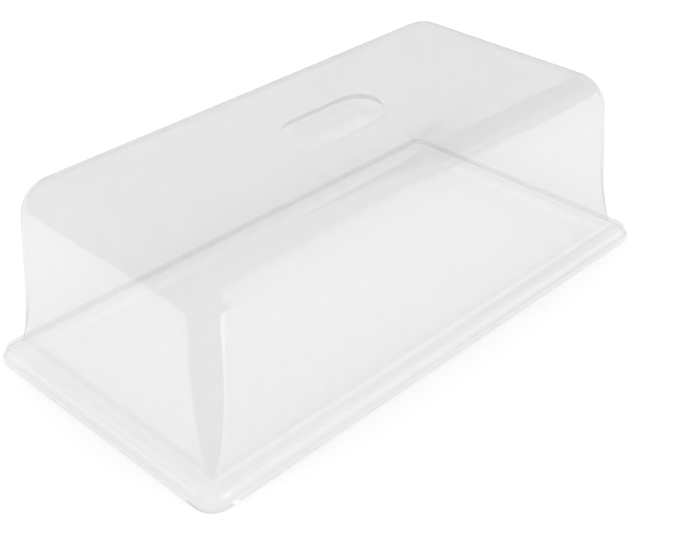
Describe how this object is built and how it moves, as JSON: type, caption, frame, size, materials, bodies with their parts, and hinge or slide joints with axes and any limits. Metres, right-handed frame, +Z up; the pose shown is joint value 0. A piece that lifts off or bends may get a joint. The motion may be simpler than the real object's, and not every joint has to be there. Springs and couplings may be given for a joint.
{
  "type": "humidity dome",
  "caption": "Long rectangular clear plastic humidity dome with a stepped rim, leaning walls, large rounded top corners and a raised oval finger grip on top.",
  "frame": {"origin": "under the middle of the dome, on the plane of the lip's foot", "axes": "+X along the length, +Y across the width, +Z up through the top panel"},
  "size_m": [0.5588, 0.2922, 0.1848],
  "materials": {
    "clear_sheet": "clear with a slight haze, smooth"
  },
  "bodies": {
    "root": {"dome": "clear_sheet"}
  },
  "joints": []
}
